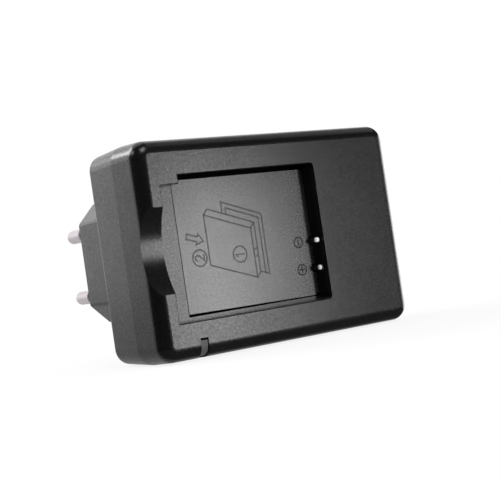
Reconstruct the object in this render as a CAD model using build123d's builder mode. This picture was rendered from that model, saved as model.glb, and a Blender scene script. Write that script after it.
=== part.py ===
"""Plug-in camera battery charger: two moulded covers, a battery bay with sprung leaf
contacts, a two-pin mains plug on the back and the charging circuit inside.

Millimetres. X runs along the length, the front faces -Y, the plug pins point +Y and +Z is
up. The origin is under the middle of the whole charger, on the surface it stands on.
Inside the sketches, depth counts from the front face towards the back, and x and z count
from the middle of the housing.
"""

from build123d import *

import os
from math import radians, tan

# Housing
case_length = 85.0
case_height = 58.7
front_depth = 12.4
rear_depth = 15.5
front_draft = 2.7
rear_draft = 1.5
corner_radius = 4.9
front_edge_radius = 3.6
rear_edge_radius = 2.0
wall = 1.8
lip_width = 0.8
lip_height = 1.5
lip_clearance = 0.1

# Battery bay in the front cover
bay_left_margin = 6.8
bay_length = 49.7
bay_height = 38.5
bay_depth = 4.4
bay_corner_radius = 0.7
bay_rim_radius = 0.25
bay_step_width = 5.5
bay_step_height = 2.4
well_wall = 1.6
ledge_width = 5.5
ledge_thickness = 1.4
rail_height = 1.1

# Thumb scoop at the left end of the bay
scoop_radius = 20.6
scoop_depth = 3.4
scoop_wall = 1.6

# Insert plate that forms the floor of the bay
plate_side_gap = 0.2
plate_top_gap = 1.1
plate_bottom_gap = 0.75
plate_edge_rise = 0.4
plate_flange = 1.2
flange_margin = 0.9
notch_radius = 0.6

# Square heat stakes that hold the insert plate
stake_size = 1.6
stake_clearance = 0.1
stake_pad_size = 3.8
stake_head_size = 2.8
stake_head_height = 0.6
stake_spacing = 28.0
stake_inset = 2.6
stake_offset = 2.9

# Leaf contacts in the slot at the right wall of the bay
contact_slot = 2.0
contact_width = 1.35
contact_sheet = 0.3
contact_top_depth = 1.35
contact_bend_radius = 0.55
contact_nose_length = 2.0
contact_wall_gap = 0.35
bend_allowance = 0.02
contact_foot = 3.6
contact_window_height = 2.4
contact_heights = {"negative": -2.4, "positive": -10.2}

# Indicator light
pipe_from_left = 13.3
pipe_width = 2.0
pipe_side_clearance = 0.2
pipe_top_clearance = 0.6
pipe_recess = 0.3
slot_top_margin = 5.65
slot_depth = 4.6
pipe_flange_width = 4.4
pipe_flange_thickness = 1.2
pipe_stalk_height = 2.2
led_length = 3.0
led_height = 1.6
led_thickness = 1.9
led_lens_height = 0.8
led_lens_radius = 0.7
led_gap = 0.2

# Circuit board, clamped by screw posts at two corners and by square rests at the other two
board_depth = 10.0
board_thickness = 1.6
board_clearance = 1.1
board_corner_cut = 2.0
post_inset_x = 3.6
post_inset_z = 3.05
post_clearance = 0.2
front_post_radius = 3.0
rear_post_radius = 3.4
rest_size = 5.0

# Case screws
screw_radius = 1.05
screw_length = 15.0
screw_head_radius = 2.0
screw_head_height = 1.5
screw_hole_clearance = 0.25
screw_head_clearance = 0.3
screw_tip_room = 0.5
thread_clearance = 0.05
screw_seat_depth = 20.0
drive_slot_length = 2.4
drive_slot_width = 0.5
drive_slot_depth = 0.8

# Mains plug: boss and pins of the flat two-pin European plug
plug_inset = 8.75
plug_length = 15.3
plug_width = 13.7
plug_height = 35.3
plug_flat = 23.8
plug_tip_width = 2.5
plug_draft = 2.0
plug_wall = 1.6
plug_end_wall = 3.6
plug_corner_radius = 2.0
plug_edge_cut = 0.7
pin_spacing = 18.6
pin_radius = 2.0
pin_length = 19.0
pin_end_radius = 1.5
sleeve_radius = 1.5
sleeve_length = 10.0
pin_core_radius = 1.1
pin_collar_radius = 3.0
pin_collar_length = 1.6
pin_tail_radius = 1.0
pin_tail_length = 4.0
pin_clearance = 0.05
lead_radius = 0.75

# Transformer
core_length = 14.4
core_height = 16.0
core_thickness = 4.8
core_leg = 2.0
core_middle_leg = 4.0
core_clearance = 0.1
bobbin_wall = 0.7
bobbin_flange = 0.8
bobbin_height = 11.6
bobbin_depth = 12.6
winding_inset = 0.5
winding_corner_radius = 1.5
transformer_x = 10.0
transformer_z = -4.0

# Small components: place on the board, or inset from its upper right corner, and sizes
mains_capacitor_place = (-8.0, 15.0)
mains_capacitor_size = (4.0, 15.0)
output_capacitor_inset = (11.6, 17.45)
output_capacitor_size = (3.15, 11.5)
noise_capacitor_place = (-20.0, -16.0)
noise_capacitor_size = (4.2, 3.2)
fuse_resistor_place = (-21.0, 10.0)
fuse_resistor_size = (1.6, 7.0)
bridge_place = (-21.0, -3.0)
bridge_size = (6.5, 4.8, 2.6)
bridge_lead_count = 2
chip_place = (-8.0, -10.0)
chip_size = (5.0, 4.0, 1.5)
chip_lead_count = 4
transistor_place = (-9.0, 1.0)
transistor_radius = 2.4
transistor_height = 4.8
transistor_flat = 1.3
transistor_lead_pitch = 1.27
transistor_lead_count = 3
package_lead_width = 0.5
package_lead_reach = 1.0
package_lead_sheet = 0.25
package_edge = 0.3
can_groove_place = 1.6
can_groove_size = 0.5
can_lead_spacing = 3.5
can_lead_reach = 1.2
lead_wire_size = 0.6
component_standoff = 1.6

# Worked out from the sizes above
case_depth = front_depth + rear_depth
total_depth = case_depth + plug_length + pin_length
front_y = -total_depth / 2
middle_z = case_height / 2
case_left = -case_length / 2
bay_left = case_left + bay_left_margin
bay_right = bay_left + bay_length
bay_bottom = -bay_height / 2
bay_top = bay_height / 2
ledge_back = bay_depth + ledge_thickness
window_left = bay_left + ledge_width
window_bottom = bay_bottom + rail_height
plate_right = bay_right - contact_slot
plate_bottom = window_bottom + plate_bottom_gap
plate_top = bay_top - plate_top_gap
plate_back = ledge_back + plate_flange
stake_left = bay_left + stake_inset
stake_right = bay_right + stake_offset
board_length = case_length - 2 * (wall + board_clearance)
board_height = case_height - 2 * (wall + board_clearance)
board_back = board_depth + board_thickness
output_capacitor_place = (
    board_length / 2 - output_capacitor_inset[0],
    board_height / 2 - output_capacitor_inset[1],
)
post_x = board_length / 2 - post_inset_x
post_z = board_height / 2 - post_inset_z
rear_wall_front = case_depth - wall
front_inset = front_depth * tan(radians(front_draft))
pipe_x = case_left + pipe_from_left
slot_top = -case_height / 2 + slot_top_margin
pipe_top = slot_top - pipe_top_clearance
pipe_bottom = -case_height / 2 + front_inset + pipe_recess
led_front = board_depth - led_thickness
rebate_wall = wall - lip_width - lip_clearance
screw_tip = screw_seat_depth - screw_length
screw_hole_radius = screw_radius + screw_hole_clearance
plug_narrowing = plug_length * tan(radians(plug_draft))
plug_x = case_left + plug_inset
plug_end = case_depth + plug_length
plug_inside = plug_end - plug_end_wall
pin_tip = plug_end + pin_length
overcut = 1.0


def layer(depth):
    """Plane at a depth behind the front face, facing the front: its axes are x and z."""
    return Plane(origin=(0, front_y + depth, middle_z), x_dir=(1, 0, 0), z_dir=(0, -1, 0))


def back_layer(depth):
    """The same plane facing the back: its axes are minus x and z."""
    return Plane(origin=(0, front_y + depth, middle_z), x_dir=(-1, 0, 0), z_dir=(0, 1, 0))


def side(x):
    """Upright plane across the length, facing +X: its axes are depth and z."""
    return Plane(origin=(x, front_y, middle_z), x_dir=(0, 1, 0), z_dir=(1, 0, 0))


def level(z):
    """Level plane facing up: its axes are x and depth."""
    return Plane(origin=(0, front_y, middle_z + z), x_dir=(1, 0, 0), z_dir=(0, 0, 1))


def side_faces(part):
    """Faces of a blank that run from front to back."""
    return part.faces().filter_by(Axis.Y, reverse=True)


def screw_places():
    """The places of the case screws, at two opposite corners of the board."""
    return Locations((post_x, post_z), (-post_x, -post_z))


def rest_places():
    """The places of the plain rests, at the other two corners of the board."""
    return Locations((-post_x, post_z), (post_x, -post_z))


def stake_places():
    """The four places of the heat stakes."""
    half = stake_spacing / 2
    return Locations((stake_left, half), (stake_left, -half), (stake_right, half), (stake_right, -half))


def pin_places():
    """The two places of the mains pins."""
    return Locations((plug_x, pin_spacing / 2), (plug_x, -pin_spacing / 2))


def point(x, depth, z):
    """A point of the model from its place in the housing."""
    return (x, front_y + depth, middle_z + z)


def plug_outline():
    """Outline of the plug boss: a long octagon with narrow ends."""
    half_width = plug_width / 2
    half_flat = plug_flat / 2
    half_height = plug_height / 2
    half_tip = plug_tip_width / 2
    Polygon(
        (plug_x - half_width, -half_flat),
        (plug_x - half_tip, -half_height),
        (plug_x + half_tip, -half_height),
        (plug_x + half_width, -half_flat),
        (plug_x + half_width, half_flat),
        (plug_x + half_tip, half_height),
        (plug_x - half_tip, half_height),
        (plug_x - half_width, half_flat),
        align=None,
    )


def bay_outline():
    """Outline of the battery bay: a rectangle with its upper left corner filled."""
    step_x = bay_left + bay_step_width
    step_z = bay_top - bay_step_height
    Polygon(
        (bay_left, bay_bottom),
        (bay_right, bay_bottom),
        (bay_right, bay_top),
        (step_x, bay_top),
        (step_x, step_z),
        (bay_left, step_z),
        align=None,
    )


# Front cover
with BuildPart() as front_cover:
    with BuildSketch(layer(front_depth)):
        RectangleRounded(case_length, case_height, corner_radius)
    extrude(amount=front_depth)
    draft(side_faces(front_cover), layer(front_depth), front_draft)
    fillet(front_cover.faces().sort_by(Axis.Y)[0].edges(), front_edge_radius)

    # Hollow behind the front wall, with the same draft as the outside
    with BuildSketch(layer(front_depth)):
        RectangleRounded(case_length - 2 * wall, case_height - 2 * wall, corner_radius - wall)
    hollow = extrude(amount=front_depth - wall, mode=Mode.PRIVATE)
    hollow = hollow.solid().draft(side_faces(hollow), layer(front_depth), front_draft)
    add(hollow, mode=Mode.SUBTRACT)

    # Well of the battery bay
    with BuildSketch(layer(ledge_back)):
        bay_outline()
        offset(amount=well_wall, kind=Kind.INTERSECTION)
    extrude(amount=ledge_back - wall)

    # Pads for the heat stakes beside the well
    with BuildSketch(layer(ledge_back)):
        with stake_places():
            Rectangle(stake_pad_size, stake_pad_size)
    extrude(amount=ledge_back - wall)

    # Backing of the thumb scoop
    with BuildSketch(side(bay_left)):
        with Locations((scoop_depth - scoop_radius, 0)):
            Circle(scoop_radius + scoop_wall)
        with Locations((wall, 0)):
            Rectangle(scoop_radius, case_height, align=(Align.MIN, Align.CENTER), mode=Mode.INTERSECT)
    extrude(amount=case_left + wall - bay_left)

    # Screw posts and rests that carry the circuit board
    with BuildSketch(layer(board_depth)):
        with screw_places():
            Circle(front_post_radius)
        with rest_places():
            Rectangle(rest_size, rest_size)
    extrude(amount=board_depth - wall)

    # Lip that enters the rear cover
    with BuildSketch(layer(front_depth + lip_height)):
        RectangleRounded(
            case_length - 2 * (wall - lip_width),
            case_height - 2 * (wall - lip_width),
            corner_radius - wall + lip_width,
        )
        RectangleRounded(
            case_length - 2 * wall, case_height - 2 * wall, corner_radius - wall, mode=Mode.SUBTRACT
        )
    extrude(amount=lip_height)

    # Bay, window for the insert plate, scoop and slot of the light
    with BuildSketch(layer(bay_depth)) as bay_floor:
        bay_outline()
        fillet(bay_floor.vertices().group_by(Axis.X)[-1], bay_corner_radius)
    extrude(amount=bay_depth + overcut, mode=Mode.SUBTRACT)
    fillet(front_cover.faces().sort_by(Axis.Y)[0].inner_wires()[0].edges(), bay_rim_radius)
    with BuildSketch(layer(ledge_back)):
        with Locations((window_left, window_bottom)):
            Rectangle(
                bay_right - window_left, bay_top - window_bottom, align=(Align.MIN, Align.MIN)
            )
    extrude(amount=ledge_thickness, mode=Mode.SUBTRACT)
    with BuildSketch(side(bay_left)):
        with Locations((scoop_depth - scoop_radius, 0)):
            Circle(scoop_radius)
    extrude(amount=case_left - overcut - bay_left, mode=Mode.SUBTRACT)
    with BuildSketch(layer(slot_depth)):
        with Locations((pipe_x, slot_top)):
            Rectangle(
                pipe_width + 2 * pipe_side_clearance, slot_top_margin + overcut,
                align=(Align.CENTER, Align.MAX),
            )
    extrude(amount=slot_depth + overcut, mode=Mode.SUBTRACT)

    # Holes for the screws
    with BuildSketch(layer(board_depth)):
        with screw_places():
            Circle(screw_radius + thread_clearance)
    extrude(amount=board_depth - screw_tip + screw_tip_room, mode=Mode.SUBTRACT)

    # Heat stakes with their formed heads
    with BuildSketch(layer(plate_back)):
        with stake_places():
            Rectangle(stake_size, stake_size)
    extrude(amount=plate_flange)
    with BuildSketch(layer(plate_back)):
        with stake_places():
            Rectangle(stake_head_size, stake_head_size)
    extrude(amount=-stake_head_height)

front_cover.part.label = "front_cover"

# Rear cover
with BuildPart() as rear_cover:
    with BuildSketch(layer(front_depth)):
        RectangleRounded(case_length, case_height, corner_radius)
    extrude(amount=-rear_depth)
    draft(side_faces(rear_cover), back_layer(front_depth), rear_draft)
    fillet(rear_cover.faces().sort_by(Axis.Y)[-1].edges(), rear_edge_radius)

    # Plug boss: a long octagon that narrows towards its end
    with BuildSketch(layer(rear_wall_front)) as boss_base:
        plug_outline()
        corners = boss_base.vertices().group_by(Axis.X)
        fillet(corners[0] + corners[-1], plug_corner_radius)
    boss = extrude(amount=-(plug_end - rear_wall_front), mode=Mode.PRIVATE)
    add(boss.solid().draft(side_faces(boss), back_layer(case_depth), plug_draft))
    chamfer(rear_cover.faces().sort_by(Axis.Y)[-1].edges(), plug_edge_cut)

    # Hollow of the case, with the same draft as the outside
    with BuildSketch(layer(front_depth)):
        RectangleRounded(case_length - 2 * wall, case_height - 2 * wall, corner_radius - wall)
    hollow = extrude(amount=-(rear_depth - wall), mode=Mode.PRIVATE)
    hollow = hollow.solid().draft(side_faces(hollow), back_layer(front_depth), rear_draft)
    add(hollow, mode=Mode.SUBTRACT)

    # Rebate for the lip of the front cover
    with BuildSketch(layer(front_depth)):
        RectangleRounded(
            case_length - 2 * rebate_wall, case_height - 2 * rebate_wall, corner_radius - rebate_wall
        )
    extrude(amount=-(lip_height + lip_clearance), mode=Mode.SUBTRACT)

    # Hollow of the boss
    with BuildSketch(layer(plug_inside)):
        plug_outline()
        offset(amount=-(plug_wall + plug_narrowing), kind=Kind.INTERSECTION)
    extrude(amount=plug_inside - rear_wall_front + overcut, mode=Mode.SUBTRACT)

    # Holes for the sleeved pins, with pockets for the pin collars
    with BuildSketch(layer(plug_end)):
        with pin_places():
            Circle(sleeve_radius + pin_clearance)
    extrude(amount=plug_end_wall, mode=Mode.SUBTRACT)
    with BuildSketch(layer(plug_inside)):
        with pin_places():
            Circle(pin_collar_radius + pin_clearance)
    extrude(amount=-pin_collar_length, mode=Mode.SUBTRACT)

    # Screw posts and rests that clamp the circuit board
    with BuildSketch(layer(board_back)):
        with screw_places():
            Circle(rear_post_radius)
        with rest_places():
            Rectangle(rest_size, rest_size)
    extrude(amount=-(rear_wall_front - board_back))
    with BuildSketch(layer(board_back)):
        with screw_places():
            Circle(screw_hole_radius)
    extrude(amount=-(case_depth - board_back), mode=Mode.SUBTRACT)
    with BuildSketch(layer(screw_seat_depth)):
        with screw_places():
            Circle(screw_head_radius + screw_head_clearance)
    extrude(amount=-(case_depth - screw_seat_depth), mode=Mode.SUBTRACT)

rear_cover.part.label = "rear_cover"

# Insert plate that forms the floor of the bay
with BuildPart() as battery_plate:
    with BuildSketch(layer(ledge_back)):
        Polygon(
            (window_left + plate_side_gap, plate_bottom),
            (plate_right, plate_bottom - plate_edge_rise),
            (plate_right, plate_top),
            (window_left + plate_side_gap, plate_top),
            align=None,
        )
        with Locations(*((plate_right, z) for z in contact_heights.values())):
            Circle(notch_radius, mode=Mode.SUBTRACT)
    extrude(amount=ledge_thickness)
    with BuildSketch(layer(plate_back)):
        with Locations((bay_left + flange_margin, plate_bottom)):
            Rectangle(
                stake_right + stake_pad_size / 2 - bay_left - flange_margin,
                plate_top - plate_bottom,
                align=(Align.MIN, Align.MIN),
            )
        stake_hole = stake_size + 2 * stake_clearance
        with stake_places():
            Rectangle(stake_hole, stake_hole, mode=Mode.SUBTRACT)
        rest_notch = rest_size + 2 * post_clearance
        with screw_places():
            Circle(front_post_radius + post_clearance, mode=Mode.SUBTRACT)
        with rest_places():
            Rectangle(rest_notch, rest_notch, mode=Mode.SUBTRACT)
        with Locations(*((plate_right, z) for z in contact_heights.values())):
            Rectangle(
                contact_slot, contact_window_height,
                align=(Align.MIN, Align.CENTER), mode=Mode.SUBTRACT,
            )
    extrude(amount=plate_flange)

battery_plate.part.label = "battery_plate"


# Leaf contacts, each one strip bent into a foot, a riser and a hairpin
def make_contact(name, z):
    """One leaf contact at height z, soldered to the front of the circuit board."""
    riser_x = bay_right - contact_wall_gap
    nose_x = riser_x - 2 * contact_bend_radius
    foot_depth = board_depth - contact_sheet / 2
    with BuildPart() as contact:
        with BuildSketch(level(z - contact_width / 2)):
            with BuildLine():
                FilletPolyline(
                    (riser_x + contact_foot, foot_depth),
                    (riser_x, foot_depth),
                    (riser_x, contact_top_depth),
                    (nose_x, contact_top_depth),
                    (nose_x, contact_top_depth + contact_nose_length),
                    radius=contact_bend_radius - bend_allowance,
                )
            trace(line_width=contact_sheet)
        extrude(amount=contact_width)
    contact.part.label = f"contact_{name}"
    return contact.part


contacts = [make_contact(name, z) for name, z in contact_heights.items()]

# Light pipe: a block that fills the slot, a flange behind the wall and a stalk to the light
with BuildPart() as light_pipe:
    with BuildSketch(side(pipe_x)) as pipe_head:
        with Locations((pipe_recess, pipe_top)):
            Rectangle(
                slot_depth - pipe_side_clearance - pipe_recess, pipe_top - pipe_bottom,
                align=(Align.MIN, Align.MAX),
            )
        head_corner = pipe_head.vertices().group_by(Axis.Y)[0].sort_by(Axis.Z)[0]
        fillet(head_corner, front_edge_radius - pipe_recess)
    extrude(amount=pipe_width / 2, both=True)
    with BuildSketch(layer(led_front - led_gap)):
        with Locations((pipe_x, pipe_top)):
            Rectangle(pipe_width, pipe_stalk_height, align=(Align.CENTER, Align.MAX))
    extrude(amount=led_front - led_gap - wall)
    with BuildSketch(layer(wall + pipe_flange_thickness)):
        with Locations((pipe_x, pipe_top)):
            Rectangle(pipe_flange_width, pipe_stalk_height, align=(Align.CENTER, Align.MAX))
    extrude(amount=pipe_flange_thickness)

light_pipe.part.label = "light_pipe"

# Indicator light on the front of the board
with BuildPart() as charge_led:
    with BuildSketch(layer(board_depth)):
        with Locations((pipe_x, pipe_top - pipe_stalk_height / 2)):
            Rectangle(led_length, led_height)
    extrude(amount=led_thickness - led_lens_height)
    with BuildSketch(layer(board_depth - led_thickness + led_lens_height)):
        with Locations((pipe_x, pipe_top - pipe_stalk_height / 2)):
            Circle(led_lens_radius)
    extrude(amount=led_lens_height)

charge_led.part.label = "charge_led"

# Circuit board
with BuildPart() as circuit_board:
    with BuildSketch(layer(board_back)) as board_outline:
        Rectangle(board_length, board_height)
        chamfer(board_outline.vertices(), board_corner_cut)
        with screw_places():
            Circle(screw_hole_radius, mode=Mode.SUBTRACT)
    extrude(amount=board_thickness)

circuit_board.part.label = "circuit_board"

# Case screws
with BuildPart() as case_screws:
    with BuildSketch(layer(screw_seat_depth)):
        with screw_places():
            Circle(screw_radius)
    extrude(amount=screw_length)
    with BuildSketch(layer(screw_seat_depth)):
        with screw_places():
            Circle(screw_head_radius)
    extrude(amount=-screw_head_height)
    with BuildSketch(layer(screw_seat_depth + screw_head_height)):
        with screw_places():
            Rectangle(drive_slot_length, drive_slot_width)
            Rectangle(drive_slot_width, drive_slot_length)
    extrude(amount=drive_slot_depth, mode=Mode.SUBTRACT)

case_screws.part.label = "case_screws"


# Mains pins with their sleeves and leads
def make_pin(name, z):
    """One mains pin at height z: tail, collar, thin core under the sleeve and bare end."""
    steps = (
        (plug_inside - pin_tail_length, pin_tail_radius),
        (plug_inside, pin_collar_radius),
        (plug_inside + pin_collar_length, pin_core_radius),
        (plug_end + sleeve_length, pin_radius),
        (pin_tip, 0),
    )
    outline = [(steps[0][0], z)]
    for (start, radius), (end, _) in zip(steps, steps[1:]):
        outline += [(start, z + radius), (end, z + radius)]
    outline.append((pin_tip, z))
    with BuildPart() as pin:
        with BuildSketch(side(plug_x)):
            Polygon(*outline, align=None)
        revolve(axis=Axis(point(plug_x, plug_end, z), (0, 1, 0)))
        fillet(pin.edges().sort_by(Axis.Y)[-1], pin_end_radius)
    pin.part.label = f"plug_pin_{name}"
    return pin.part


def make_sleeve(name, z):
    """Insulating sleeve over the root of one pin."""
    sleeve_end = plug_end + sleeve_length
    with BuildPart() as sleeve:
        with BuildSketch(layer(sleeve_end)):
            with Locations((plug_x, z)):
                Circle(sleeve_radius)
                Circle(pin_core_radius, mode=Mode.SUBTRACT)
        extrude(amount=sleeve_end - plug_inside - pin_collar_length)
    sleeve.part.label = f"pin_sleeve_{name}"
    return sleeve.part


def make_lead(name, z):
    """Insulated wire from the tail of one pin straight to the back of the board."""
    tail = plug_inside - pin_tail_length
    with BuildPart() as lead:
        with BuildSketch(layer(tail)):
            with Locations((plug_x, z)):
                Circle(lead_radius)
        extrude(amount=tail - board_back)
    lead.part.label = f"pin_lead_{name}"
    return lead.part


pin_heights = {"live": pin_spacing / 2, "neutral": -pin_spacing / 2}
pins = [make_pin(name, z) for name, z in pin_heights.items()]
sleeves = [make_sleeve(name, z) for name, z in pin_heights.items()]
leads = [make_lead(name, z) for name, z in pin_heights.items()]

# Transformer: a pair of ferrite cores through a wound bobbin
core_depth = board_back + bobbin_depth / 2
window_length = core_length - 2 * core_leg
window_height = (core_height - core_middle_leg) / 2 - core_leg
spool_length = window_length - 2 * core_clearance

with BuildPart() as transformer_core:
    with BuildSketch(layer(core_depth + core_thickness / 2)):
        with Locations((transformer_x, transformer_z)):
            Rectangle(core_length, core_height)
        with Locations((transformer_x, transformer_z)):
            with GridLocations(0, core_middle_leg + window_height, 1, 2):
                Rectangle(window_length, window_height, mode=Mode.SUBTRACT)
    extrude(amount=core_thickness)

transformer_core.part.label = "transformer_core"

with BuildPart() as transformer_bobbin:
    with BuildSketch(side(transformer_x - spool_length / 2)):
        with Locations((core_depth, transformer_z)):
            Rectangle(
                core_thickness + 2 * (core_clearance + bobbin_wall),
                core_middle_leg + 2 * (core_clearance + bobbin_wall),
            )
    extrude(amount=spool_length)
    for flange_x in (transformer_x - spool_length / 2, transformer_x + spool_length / 2 - bobbin_flange):
        with BuildSketch(side(flange_x)):
            with Locations((core_depth, transformer_z)):
                Rectangle(bobbin_depth, bobbin_height)
        extrude(amount=bobbin_flange)
    with BuildSketch(side(transformer_x - spool_length / 2)):
        with Locations((core_depth, transformer_z)):
            Rectangle(core_thickness + 2 * core_clearance, core_middle_leg + 2 * core_clearance)
    extrude(amount=spool_length, mode=Mode.SUBTRACT)

transformer_bobbin.part.label = "transformer_bobbin"

with BuildPart() as transformer_winding:
    with BuildSketch(side(transformer_x - spool_length / 2 + bobbin_flange)):
        with Locations((core_depth, transformer_z)):
            RectangleRounded(
                bobbin_depth - 2 * winding_inset, bobbin_height - 2 * winding_inset, winding_corner_radius
            )
            Rectangle(
                core_thickness + 2 * (core_clearance + bobbin_wall),
                core_middle_leg + 2 * (core_clearance + bobbin_wall),
                mode=Mode.SUBTRACT,
            )
    extrude(amount=spool_length - 2 * bobbin_flange)

transformer_winding.part.label = "transformer_winding"

# Mains capacitor, lying on the board with its two leads bent down
with BuildPart() as mains_capacitor:
    can_radius, can_length = mains_capacitor_size
    can_x, can_z = mains_capacitor_place
    can_depth = board_back + can_radius
    with BuildSketch(side(can_x - can_length / 2)):
        with Locations((can_depth, can_z)):
            Circle(can_radius)
    extrude(amount=can_length)
    can_end = can_x + can_length / 2
    for lead_z in (can_z - can_lead_spacing / 2, can_z + can_lead_spacing / 2):
        with BuildLine() as can_lead:
            Polyline(
                point(can_x, can_depth, lead_z),
                point(can_end + can_lead_reach, can_depth, lead_z),
                point(can_end + can_lead_reach, board_back, lead_z),
            )
        with BuildSketch(Plane(origin=can_lead.line @ 0, z_dir=can_lead.line % 0)):
            Rectangle(lead_wire_size, lead_wire_size)
        sweep(transition=Transition.RIGHT)

mains_capacitor.part.label = "mains_capacitor"

# Output capacitor, standing on the board, with the groove of its seal
with BuildPart() as output_capacitor:
    can_radius, can_length = output_capacitor_size
    with BuildSketch(layer(board_back)):
        with Locations(output_capacitor_place):
            Circle(can_radius)
    extrude(amount=-can_length)
    with BuildSketch(layer(board_back + can_groove_place)):
        with Locations(output_capacitor_place):
            Circle(can_radius)
            Circle(can_radius - can_groove_size, mode=Mode.SUBTRACT)
    extrude(amount=-can_groove_size, mode=Mode.SUBTRACT)

output_capacitor.part.label = "output_capacitor"

# Noise capacitor, a disc standing on its two leads
with BuildPart() as noise_capacitor:
    disc_radius, disc_thickness = noise_capacitor_size
    disc_x, disc_z = noise_capacitor_place
    disc_depth = board_back + component_standoff + disc_radius
    with BuildSketch(side(disc_x - disc_thickness / 2)):
        with Locations((disc_depth, disc_z)):
            Circle(disc_radius)
    extrude(amount=disc_thickness)
    with BuildSketch(layer(board_back)):
        with Locations(noise_capacitor_place):
            with GridLocations(0, disc_radius, 1, 2):
                Rectangle(lead_wire_size, lead_wire_size)
    extrude(amount=-(component_standoff + disc_radius))

noise_capacitor.part.label = "noise_capacitor"

# Fuse resistor, lying on the board with a lead bent down at each end
with BuildPart() as fuse_resistor:
    fuse_radius, fuse_length = fuse_resistor_size
    fuse_x, fuse_z = fuse_resistor_place
    fuse_depth = board_back + fuse_radius
    with BuildSketch(side(fuse_x - fuse_length / 2)):
        with Locations((fuse_depth, fuse_z)):
            Circle(fuse_radius)
    extrude(amount=fuse_length)
    lead_offset = fuse_length / 2 + can_lead_reach
    with BuildLine() as fuse_lead:
        Polyline(
            point(fuse_x - lead_offset, board_back, fuse_z),
            point(fuse_x - lead_offset, fuse_depth, fuse_z),
            point(fuse_x + lead_offset, fuse_depth, fuse_z),
            point(fuse_x + lead_offset, board_back, fuse_z),
        )
    with BuildSketch(Plane(origin=fuse_lead.line @ 0, z_dir=fuse_lead.line % 0)):
        Rectangle(lead_wire_size, lead_wire_size)
    sweep(transition=Transition.RIGHT)

fuse_resistor.part.label = "fuse_resistor"


# Flat packages: the bridge rectifier and the control chip
def make_package(name, place, size, lead_count):
    """Moulded package on the board with a row of flat leads along each long side."""
    length, height, thickness = size
    with BuildPart() as package:
        with BuildSketch(layer(board_back)):
            with Locations(place):
                Rectangle(length, height)
        extrude(amount=-thickness)
        chamfer(package.faces().sort_by(Axis.Y)[-1].edges(), package_edge)
        with BuildSketch(layer(board_back)):
            with Locations(place):
                with GridLocations(length / lead_count, 0, lead_count, 1):
                    Rectangle(package_lead_width, height + 2 * package_lead_reach)
        extrude(amount=-package_lead_sheet)
    package.part.label = name
    return package.part


bridge_rectifier = make_package("bridge_rectifier", bridge_place, bridge_size, bridge_lead_count)
control_chip = make_package("control_chip", chip_place, chip_size, chip_lead_count)

# Switch transistor, standing on its three leads
with BuildPart() as switch_transistor:
    with BuildSketch(layer(board_back + component_standoff)):
        with Locations(transistor_place):
            Circle(transistor_radius)
        with Locations((transistor_place[0], transistor_place[1] + transistor_flat)):
            Rectangle(
                2 * transistor_radius, transistor_radius,
                align=(Align.CENTER, Align.MIN), mode=Mode.SUBTRACT,
            )
    extrude(amount=-transistor_height)
    with BuildSketch(layer(board_back)):
        with Locations(transistor_place):
            with GridLocations(transistor_lead_pitch, 0, transistor_lead_count, 1):
                Rectangle(package_lead_width, package_lead_width)
    extrude(amount=-component_standoff)

switch_transistor.part.label = "switch_transistor"

pieces = [
    front_cover.part,
    rear_cover.part,
    battery_plate.part,
    *contacts,
    light_pipe.part,
    charge_led.part,
    circuit_board.part,
    case_screws.part,
    *pins,
    *sleeves,
    *leads,
    transformer_core.part,
    transformer_bobbin.part,
    transformer_winding.part,
    mains_capacitor.part,
    output_capacitor.part,
    noise_capacitor.part,
    fuse_resistor.part,
    bridge_rectifier,
    control_chip,
    switch_transistor.part,
]

os.makedirs("parts", exist_ok=True)
for piece in pieces:
    export_step(piece, f"parts/{piece.label}.step")
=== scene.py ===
"""Looks of the plug-in camera battery charger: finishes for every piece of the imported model, the
printed signs on the insert plate, and a plain studio with the camera of the photograph.

Metres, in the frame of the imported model: +X runs away from the plug end, the bay faces -Y, the
plug pins point to +Y and +Z is up.
"""

import logging
from dataclasses import dataclass, field, replace
from enum import Enum
from math import cos, pi, radians, sin

import bpy
import numpy as np
from mathutils import Matrix, Vector


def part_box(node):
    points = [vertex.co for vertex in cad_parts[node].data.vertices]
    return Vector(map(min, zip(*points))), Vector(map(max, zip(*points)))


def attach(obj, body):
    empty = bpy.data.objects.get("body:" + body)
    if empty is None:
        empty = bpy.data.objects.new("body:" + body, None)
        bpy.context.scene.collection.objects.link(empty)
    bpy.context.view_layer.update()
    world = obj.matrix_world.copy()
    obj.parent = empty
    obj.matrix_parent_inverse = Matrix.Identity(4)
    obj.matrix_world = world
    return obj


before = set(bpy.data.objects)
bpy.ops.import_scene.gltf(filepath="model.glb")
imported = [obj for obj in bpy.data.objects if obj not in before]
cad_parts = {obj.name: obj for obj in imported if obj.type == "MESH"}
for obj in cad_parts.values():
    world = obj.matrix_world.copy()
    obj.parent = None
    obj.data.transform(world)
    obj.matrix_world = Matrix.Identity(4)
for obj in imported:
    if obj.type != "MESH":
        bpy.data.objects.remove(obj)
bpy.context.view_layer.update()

logging.basicConfig(level=logging.INFO, format="%(message)s")
log = logging.getLogger("charger")

MM = 0.001
Colour = tuple[float, float, float]
Point = tuple[float, float, float]
Place = tuple[float, float]
Span = tuple[float, float]
Line = tuple[np.ndarray, bool]
Input = float | tuple[float, ...] | bpy.types.NodeSocket

# Places of the colour sockets on Blender's Mix node
MIX_LOW = 6
MIX_HIGH = 7
MIX_RESULT = 2


class Slot(Enum):
    """Material slot of the record for the plate's plastic, which nothing in the script uses."""

    PLATE = "plate_plastic"


class Polarity(Enum):
    """Sign printed beside one of the two contacts."""

    NEGATIVE = "contact_negative"
    POSITIVE = "contact_positive"


class Digit(Enum):
    """Step numbers of the battery sign."""

    ONE = 1
    TWO = 2


# Shader helpers


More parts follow.
